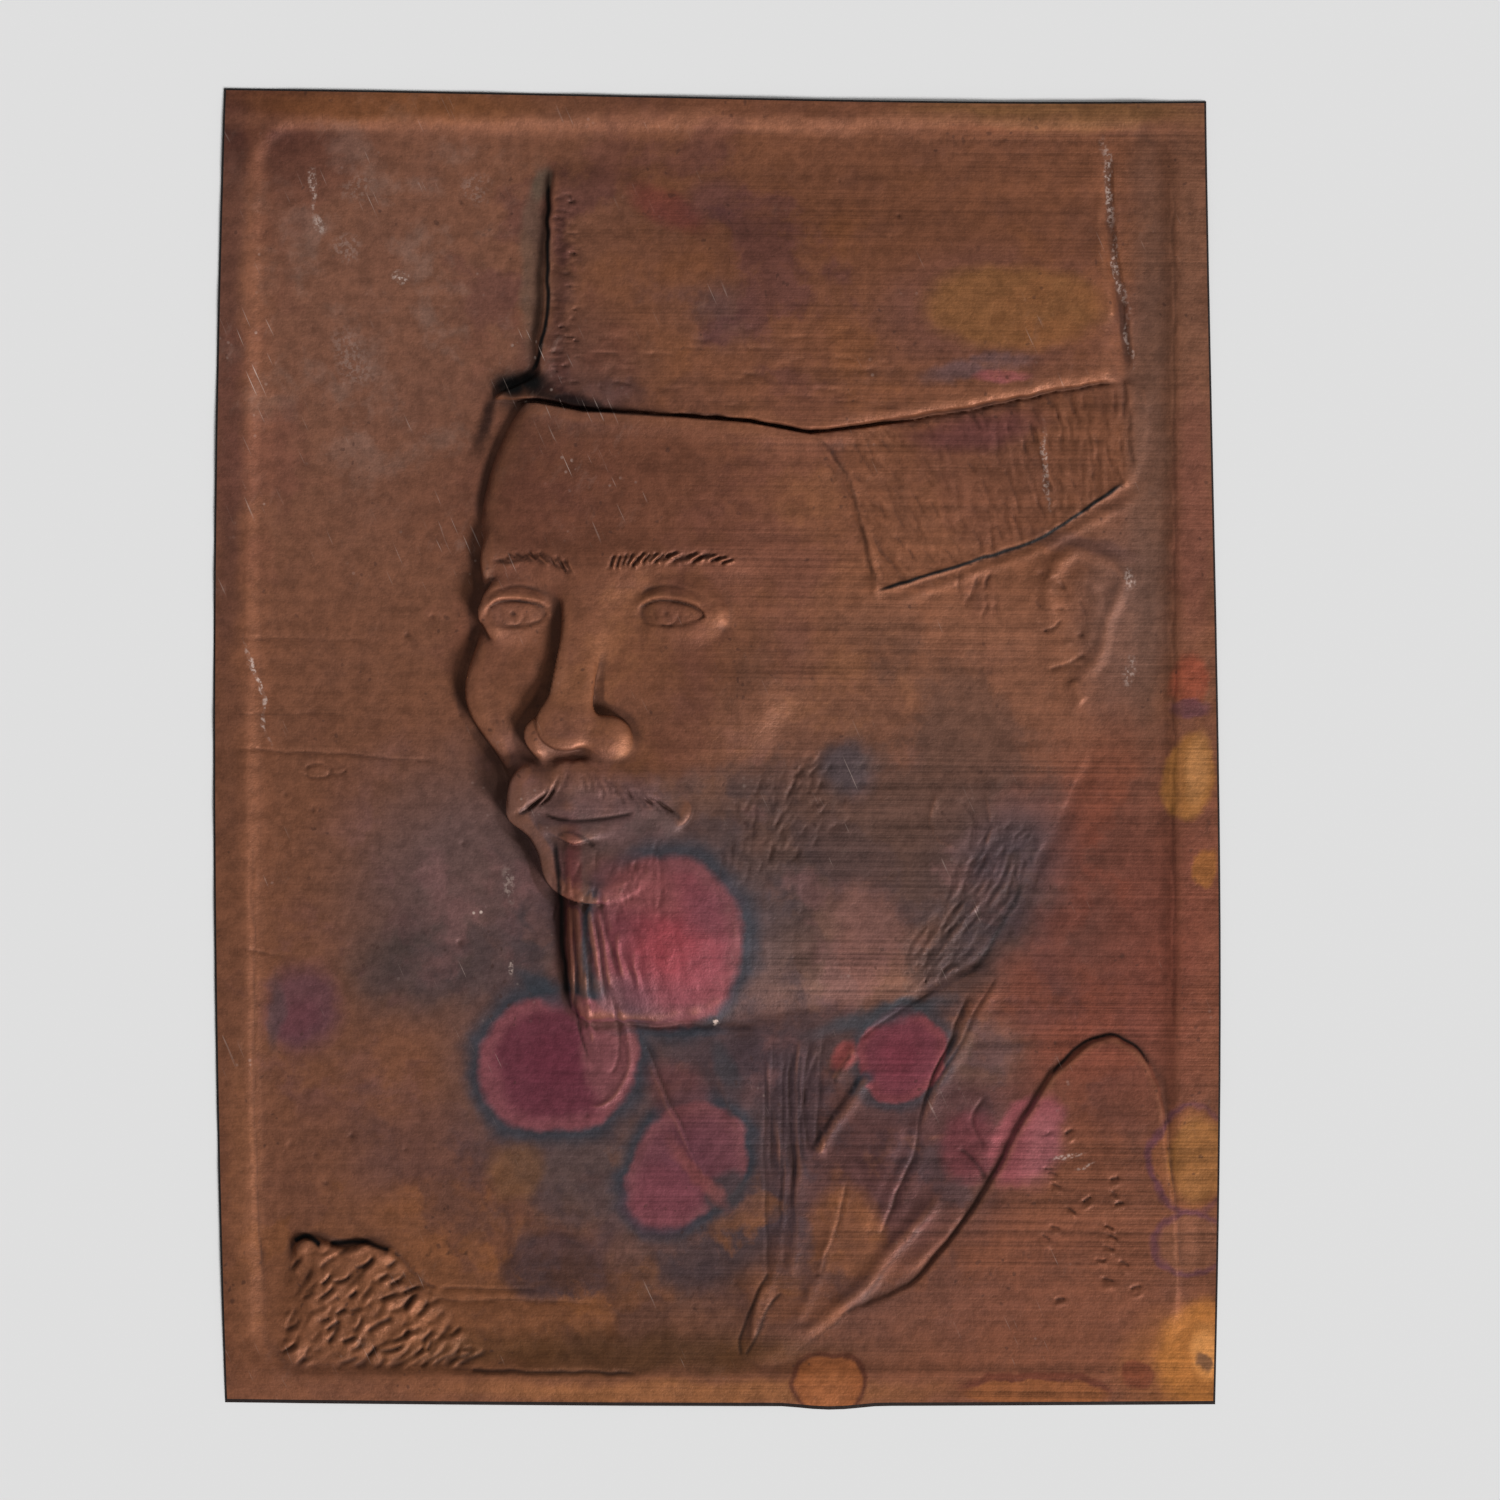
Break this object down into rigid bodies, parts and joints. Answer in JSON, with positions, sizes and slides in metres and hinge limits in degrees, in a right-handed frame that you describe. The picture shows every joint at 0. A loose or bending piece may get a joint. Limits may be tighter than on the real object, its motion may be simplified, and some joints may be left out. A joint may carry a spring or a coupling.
{
  "type": "copper relief panel",
  "caption": "Thin embossed copper sheet, lying face up, with a bearded head in a tall hat in low relief inside a raised rim.",
  "frame": {"origin": "under the middle of the sheet, on the surface that it lies on", "axes": "+X to the right of the picture, +Y to its top, +Z out of its face"},
  "size_m": [0.3022, 0.3964, 0.0125],
  "materials": {
    "copper_sheet": "satin brown patina with red, violet and ochre heat stains"
  },
  "bodies": {
    "root": {"copper_relief_sheet": "copper_sheet"}
  },
  "joints": []
}
